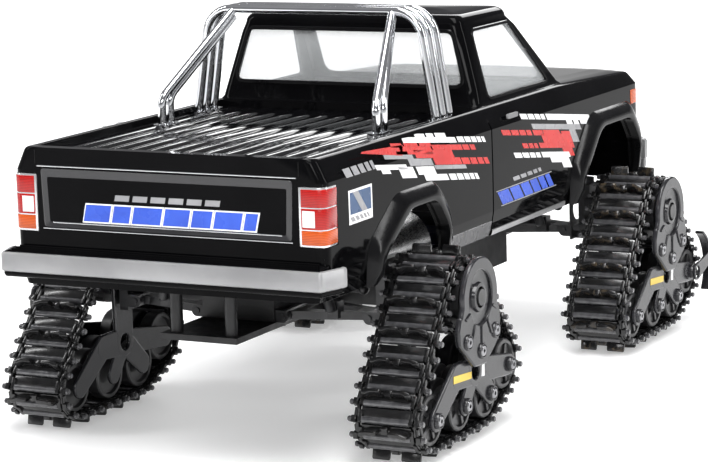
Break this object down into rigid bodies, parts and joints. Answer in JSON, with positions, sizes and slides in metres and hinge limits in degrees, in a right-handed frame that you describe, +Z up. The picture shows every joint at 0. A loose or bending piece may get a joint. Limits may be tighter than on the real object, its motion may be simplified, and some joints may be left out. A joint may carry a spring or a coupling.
{
  "type": "tracked radio-controlled pickup truck",
  "caption": "Tenth-scale radio-controlled pickup truck with a gloss black body, chrome roll bar and a triangular track unit on each corner.",
  "frame": {"origin": "on the ground at the centre of the vehicle outline", "axes": "+X to the right side of the vehicle, +Y towards the front bumper, +Z up"},
  "size_m": [0.246, 0.4205, 0.2031],
  "materials": {
    "chassis_plastic": "satin moulded",
    "battery_wrap": "shrink wrap",
    "motor_can": "brushed can",
    "controller_case": "anodised",
    "servo_case": "moulded",
    "body_paint": "gloss black polycarbonate",
    "window_clear": "clear polycarbonate",
    "bright_plating": "bright plated",
    "satin_silver": "satin silver",
    "lamp_red": "tinted lens",
    "shaft_metal": "brushed",
    "arm_plastic": "satin moulded",
    "wheel_plastic": "satin moulded",
    "damper_metal": "bright",
    "track_frame_plastic": "satin dark grey",
    "track_plastic": "satin, dusty"
  },
  "bodies": {
    "chassis": {"chassis_tub": "chassis_plastic", "gear_cases": "chassis_plastic", "battery_pack": "battery_wrap", "motor": "motor_can", "speed_controller": "controller_case", "steering_servo": "servo_case", "body_shell": "body_paint", "cab_glazing": "window_clear", "roll_bar": "bright_plating", "rear_bumper": "satin_silver", "lamps": "lamp_red", "front_bumper": "satin_silver", "damper_rear_left": "damper_metal", "damper_front_left": "damper_metal", "damper_rear_right": "damper_metal", "damper_front_right": "damper_metal"},
    "propeller_shaft": {"propeller_shaft": "shaft_metal"},
    "lower_arm_rear_left": {"lower_arm_rear_left": "arm_plastic"},
    "upper_arm_rear_left": {"upper_arm_rear_left": "arm_plastic"},
    "upright_rear_left": {"upright_rear_left": "arm_plastic"},
    "track_unit_rear_left": {"track_frame_rear_left": "track_frame_plastic", "track_chain_rear_left": "track_plastic"},
    "drive_sprocket_rear_left": {"drive_sprocket_rear_left": "wheel_plastic"},
    "wheel_rear_rear_left": {"wheel_rear_rear_left": "wheel_plastic"},
    "wheel_mid_rear_left": {"wheel_mid_rear_left": "wheel_plastic"},
    "wheel_front_rear_left": {"wheel_front_rear_left": "wheel_plastic"},
    "wheel_raised_rear_left": {"wheel_raised_rear_left": "wheel_plastic"},
    "lower_arm_front_left": {"lower_arm_front_left": "arm_plastic"},
    "upper_arm_front_left": {"upper_arm_front_left": "arm_plastic"},
    "hub_carrier_front_left": {"hub_carrier_front_left": "arm_plastic"},
    "track_unit_front_left": {"track_frame_front_left": "track_frame_plastic", "track_chain_front_left": "track_plastic"},
    "drive_sprocket_front_left": {"drive_sprocket_front_left": "wheel_plastic"},
    "steering_knuckle_front_left": {"steering_knuckle_front_left": "arm_plastic"},
    "wheel_rear_front_left": {"wheel_rear_front_left": "wheel_plastic"},
    "wheel_mid_front_left": {"wheel_mid_front_left": "wheel_plastic"},
    "wheel_front_front_left": {"wheel_front_front_left": "wheel_plastic"},
    "wheel_raised_front_left": {"wheel_raised_front_left": "wheel_plastic"},
    "lower_arm_rear_right": {"lower_arm_rear_right": "arm_plastic"},
    "upper_arm_rear_right": {"upper_arm_rear_right": "arm_plastic"},
    "upright_rear_right": {"upright_rear_right": "arm_plastic"},
    "track_unit_rear_right": {"track_frame_rear_right": "track_frame_plastic", "track_chain_rear_right": "track_plastic"},
    "drive_sprocket_rear_right": {"drive_sprocket_rear_right": "wheel_plastic"},
    "wheel_rear_rear_right": {"wheel_rear_rear_right": "wheel_plastic"},
    "wheel_mid_rear_right": {"wheel_mid_rear_right": "wheel_plastic"},
    "wheel_front_rear_right": {"wheel_front_rear_right": "wheel_plastic"},
    "wheel_raised_rear_right": {"wheel_raised_rear_right": "wheel_plastic"},
    "lower_arm_front_right": {"lower_arm_front_right": "arm_plastic"},
    "upper_arm_front_right": {"upper_arm_front_right": "arm_plastic"},
    "hub_carrier_front_right": {"hub_carrier_front_right": "arm_plastic"},
    "track_unit_front_right": {"track_frame_front_right": "track_frame_plastic", "track_chain_front_right": "track_plastic"},
    "drive_sprocket_front_right": {"drive_sprocket_front_right": "wheel_plastic"},
    "steering_knuckle_front_right": {"steering_knuckle_front_right": "arm_plastic"},
    "wheel_rear_front_right": {"wheel_rear_front_right": "wheel_plastic"},
    "wheel_mid_front_right": {"wheel_mid_front_right": "wheel_plastic"},
    "wheel_front_front_right": {"wheel_front_front_right": "wheel_plastic"},
    "wheel_raised_front_right": {"wheel_raised_front_right": "wheel_plastic"},
    "steering_link": {"steering_link": "chassis_plastic"}
  },
  "joints": [
    {"name": "propeller_spin", "type": "hinge", "parent": "chassis", "child": "propeller_shaft", "pos_m": [0, 0, 0.07], "axis": [0, 1, 0], "continuous": true},
    {"name": "suspension_rear_left", "type": "hinge", "parent": "chassis", "child": "lower_arm_rear_left", "pos_m": [-0.024, -0.11225, 0.06], "axis": [0, 1, 0], "range_deg": [-10, 10], "stiffness_Nm_per_rad": 3.2, "springref_deg": -4.21, "deforming": ["damper_rear_left"]},
    {"name": "upper_arm_swing_rear_left", "type": "hinge", "parent": "chassis", "child": "upper_arm_rear_left", "pos_m": [-0.024, -0.11225, 0.084], "axis": [0, 1, 0], "range_deg": [-10, 10]},
    {"name": "upright_pivot_rear_left", "type": "hinge", "parent": "lower_arm_rear_left", "child": "upright_rear_left", "pos_m": [-0.066, -0.11225, 0.06], "axis": [0, 1, 0], "range_deg": [-10, 10]},
    {"name": "track_swing_rear_left", "type": "hinge", "parent": "upright_rear_left", "child": "track_unit_rear_left", "pos_m": [-0.097, -0.11225, 0.072], "axis": [1, 0, 0], "range_deg": [-10, 10]},
    {"name": "drive_rear_left", "type": "hinge", "parent": "track_unit_rear_left", "child": "drive_sprocket_rear_left", "pos_m": [-0.097, -0.11225, 0.072], "axis": [1, 0, 0], "continuous": true},
    {"name": "roll_rear_rear_left", "type": "hinge", "parent": "track_unit_rear_left", "child": "wheel_rear_rear_left", "pos_m": [-0.097, -0.15525, 0.021], "axis": [1, 0, 0], "continuous": true},
    {"name": "roll_mid_rear_left", "type": "hinge", "parent": "track_unit_rear_left", "child": "wheel_mid_rear_left", "pos_m": [-0.097, -0.12325, 0.021], "axis": [1, 0, 0], "continuous": true},
    {"name": "roll_front_rear_left", "type": "hinge", "parent": "track_unit_rear_left", "child": "wheel_front_rear_left", "pos_m": [-0.097, -0.09425, 0.021], "axis": [1, 0, 0], "continuous": true},
    {"name": "roll_raised_rear_left", "type": "hinge", "parent": "track_unit_rear_left", "child": "wheel_raised_rear_left", "pos_m": [-0.097, -0.07125, 0.0306], "axis": [1, 0, 0], "continuous": true},
    {"name": "suspension_front_left", "type": "hinge", "parent": "chassis", "child": "lower_arm_front_left", "pos_m": [-0.024, 0.14475, 0.06], "axis": [0, 1, 0], "range_deg": [-10, 10], "stiffness_Nm_per_rad": 2.6, "springref_deg": -4.44, "deforming": ["damper_front_left"]},
    {"name": "upper_arm_swing_front_left", "type": "hinge", "parent": "chassis", "child": "upper_arm_front_left", "pos_m": [-0.024, 0.14475, 0.084], "axis": [0, 1, 0], "range_deg": [-10, 10]},
    {"name": "upright_pivot_front_left", "type": "hinge", "parent": "lower_arm_front_left", "child": "hub_carrier_front_left", "pos_m": [-0.06, 0.14475, 0.06], "axis": [0, 1, 0], "range_deg": [-10, 10]},
    {"name": "steer_left", "type": "hinge", "parent": "hub_carrier_front_left", "child": "steering_knuckle_front_left", "pos_m": [-0.069, 0.14475, 0.072], "axis": [0, 0, 1], "range_deg": [-10, 10]},
    {"name": "track_swing_front_left", "type": "hinge", "parent": "steering_knuckle_front_left", "child": "track_unit_front_left", "pos_m": [-0.097, 0.14475, 0.072], "axis": [1, 0, 0], "range_deg": [-10, 10]},
    {"name": "drive_front_left", "type": "hinge", "parent": "track_unit_front_left", "child": "drive_sprocket_front_left", "pos_m": [-0.097, 0.14475, 0.072], "axis": [1, 0, 0], "continuous": true},
    {"name": "roll_rear_front_left", "type": "hinge", "parent": "track_unit_front_left", "child": "wheel_rear_front_left", "pos_m": [-0.097, 0.10175, 0.021], "axis": [1, 0, 0], "continuous": true},
    {"name": "roll_mid_front_left", "type": "hinge", "parent": "track_unit_front_left", "child": "wheel_mid_front_left", "pos_m": [-0.097, 0.13375, 0.021], "axis": [1, 0, 0], "continuous": true},
    {"name": "roll_front_front_left", "type": "hinge", "parent": "track_unit_front_left", "child": "wheel_front_front_left", "pos_m": [-0.097, 0.16275, 0.021], "axis": [1, 0, 0], "continuous": true},
    {"name": "roll_raised_front_left", "type": "hinge", "parent": "track_unit_front_left", "child": "wheel_raised_front_left", "pos_m": [-0.097, 0.18575, 0.0306], "axis": [1, 0, 0], "continuous": true},
    {"name": "suspension_rear_right", "type": "hinge", "parent": "chassis", "child": "lower_arm_rear_right", "pos_m": [0.024, -0.11225, 0.06], "axis": [0, -1, 0], "range_deg": [-10, 10], "stiffness_Nm_per_rad": 3.2, "springref_deg": -4.21, "deforming": ["damper_rear_right"]},
    {"name": "upper_arm_swing_rear_right", "type": "hinge", "parent": "chassis", "child": "upper_arm_rear_right", "pos_m": [0.024, -0.11225, 0.084], "axis": [0, -1, 0], "range_deg": [-10, 10]},
    {"name": "upright_pivot_rear_right", "type": "hinge", "parent": "lower_arm_rear_right", "child": "upright_rear_right", "pos_m": [0.066, -0.11225, 0.06], "axis": [0, -1, 0], "range_deg": [-10, 10]},
    {"name": "track_swing_rear_right", "type": "hinge", "parent": "upright_rear_right", "child": "track_unit_rear_right", "pos_m": [0.097, -0.11225, 0.072], "axis": [1, 0, 0], "range_deg": [-10, 10]},
    {"name": "drive_rear_right", "type": "hinge", "parent": "track_unit_rear_right", "child": "drive_sprocket_rear_right", "pos_m": [0.097, -0.11225, 0.072], "axis": [1, 0, 0], "continuous": true},
    {"name": "roll_rear_rear_right", "type": "hinge", "parent": "track_unit_rear_right", "child": "wheel_rear_rear_right", "pos_m": [0.097, -0.15525, 0.021], "axis": [1, 0, 0], "continuous": true},
    {"name": "roll_mid_rear_right", "type": "hinge", "parent": "track_unit_rear_right", "child": "wheel_mid_rear_right", "pos_m": [0.097, -0.12325, 0.021], "axis": [1, 0, 0], "continuous": true},
    {"name": "roll_front_rear_right", "type": "hinge", "parent": "track_unit_rear_right", "child": "wheel_front_rear_right", "pos_m": [0.097, -0.09425, 0.021], "axis": [1, 0, 0], "continuous": true},
    {"name": "roll_raised_rear_right", "type": "hinge", "parent": "track_unit_rear_right", "child": "wheel_raised_rear_right", "pos_m": [0.097, -0.07125, 0.0306], "axis": [1, 0, 0], "continuous": true},
    {"name": "suspension_front_right", "type": "hinge", "parent": "chassis", "child": "lower_arm_front_right", "pos_m": [0.024, 0.14475, 0.06], "axis": [0, -1, 0], "range_deg": [-10, 10], "stiffness_Nm_per_rad": 2.6, "springref_deg": -4.44, "deforming": ["damper_front_right"]},
    {"name": "upper_arm_swing_front_right", "type": "hinge", "parent": "chassis", "child": "upper_arm_front_right", "pos_m": [0.024, 0.14475, 0.084], "axis": [0, -1, 0], "range_deg": [-10, 10]},
    {"name": "upright_pivot_front_right", "type": "hinge", "parent": "lower_arm_front_right", "child": "hub_carrier_front_right", "pos_m": [0.06, 0.14475, 0.06], "axis": [0, -1, 0], "range_deg": [-10, 10]},
    {"name": "steer_right", "type": "hinge", "parent": "hub_carrier_front_right", "child": "steering_knuckle_front_right", "pos_m": [0.069, 0.14475, 0.072], "axis": [0, 0, 1], "range_deg": [-10, 10]},
    {"name": "track_swing_front_right", "type": "hinge", "parent": "steering_knuckle_front_right", "child": "track_unit_front_right", "pos_m": [0.097, 0.14475, 0.072], "axis": [1, 0, 0], "range_deg": [-10, 10]},
    {"name": "drive_front_right", "type": "hinge", "parent": "track_unit_front_right", "child": "drive_sprocket_front_right", "pos_m": [0.097, 0.14475, 0.072], "axis": [1, 0, 0], "continuous": true},
    {"name": "roll_rear_front_right", "type": "hinge", "parent": "track_unit_front_right", "child": "wheel_rear_front_right", "pos_m": [0.097, 0.10175, 0.021], "axis": [1, 0, 0], "continuous": true},
    {"name": "roll_mid_front_right", "type": "hinge", "parent": "track_unit_front_right", "child": "wheel_mid_front_right", "pos_m": [0.097, 0.13375, 0.021], "axis": [1, 0, 0], "continuous": true},
    {"name": "roll_front_front_right", "type": "hinge", "parent": "track_unit_front_right", "child": "wheel_front_front_right", "pos_m": [0.097, 0.16275, 0.021], "axis": [1, 0, 0], "continuous": true},
    {"name": "roll_raised_front_right", "type": "hinge", "parent": "track_unit_front_right", "child": "wheel_raised_front_right", "pos_m": [0.097, 0.18575, 0.0306], "axis": [1, 0, 0], "continuous": true},
    {"name": "steering_link_slide", "type": "slide", "parent": "chassis", "child": "steering_link", "axis": [1, 0, 0], "range_m": [-0.0032, 0.0032]}
  ],
  "couplings": [
    {"joint": "upper_arm_swing_rear_left", "follows": "suspension_rear_left", "ratio": 1},
    {"joint": "upright_pivot_rear_left", "follows": "suspension_rear_left", "ratio": -1},
    {"joint": "roll_rear_rear_left", "follows": "drive_rear_left", "ratio": 1.2414},
    {"joint": "roll_mid_rear_left", "follows": "drive_rear_left", "ratio": 1.2414},
    {"joint": "roll_front_rear_left", "follows": "drive_rear_left", "ratio": 1.2414},
    {"joint": "roll_raised_rear_left", "follows": "drive_rear_left", "ratio": 1.2414},
    {"joint": "upper_arm_swing_front_left", "follows": "suspension_front_left", "ratio": 1},
    {"joint": "upright_pivot_front_left", "follows": "suspension_front_left", "ratio": -1},
    {"joint": "roll_rear_front_left", "follows": "drive_front_left", "ratio": 1.2414},
    {"joint": "roll_mid_front_left", "follows": "drive_front_left", "ratio": 1.2414},
    {"joint": "roll_front_front_left", "follows": "drive_front_left", "ratio": 1.2414},
    {"joint": "roll_raised_front_left", "follows": "drive_front_left", "ratio": 1.2414},
    {"joint": "upper_arm_swing_rear_right", "follows": "suspension_rear_right", "ratio": 1},
    {"joint": "upright_pivot_rear_right", "follows": "suspension_rear_right", "ratio": -1},
    {"joint": "roll_rear_rear_right", "follows": "drive_rear_right", "ratio": 1.2414},
    {"joint": "roll_mid_rear_right", "follows": "drive_rear_right", "ratio": 1.2414},
    {"joint": "roll_front_rear_right", "follows": "drive_rear_right", "ratio": 1.2414},
    {"joint": "roll_raised_rear_right", "follows": "drive_rear_right", "ratio": 1.2414},
    {"joint": "upper_arm_swing_front_right", "follows": "suspension_front_right", "ratio": 1},
    {"joint": "upright_pivot_front_right", "follows": "suspension_front_right", "ratio": -1},
    {"joint": "roll_rear_front_right", "follows": "drive_front_right", "ratio": 1.2414},
    {"joint": "roll_mid_front_right", "follows": "drive_front_right", "ratio": 1.2414},
    {"joint": "roll_front_front_right", "follows": "drive_front_right", "ratio": 1.2414},
    {"joint": "roll_raised_front_right", "follows": "drive_front_right", "ratio": 1.2414},
    {"joint": "steer_left", "follows": "steer_right", "ratio": 1},
    {"joint": "steering_link_slide", "follows": "steer_right", "m_per_rad": 0.018}
  ]
}
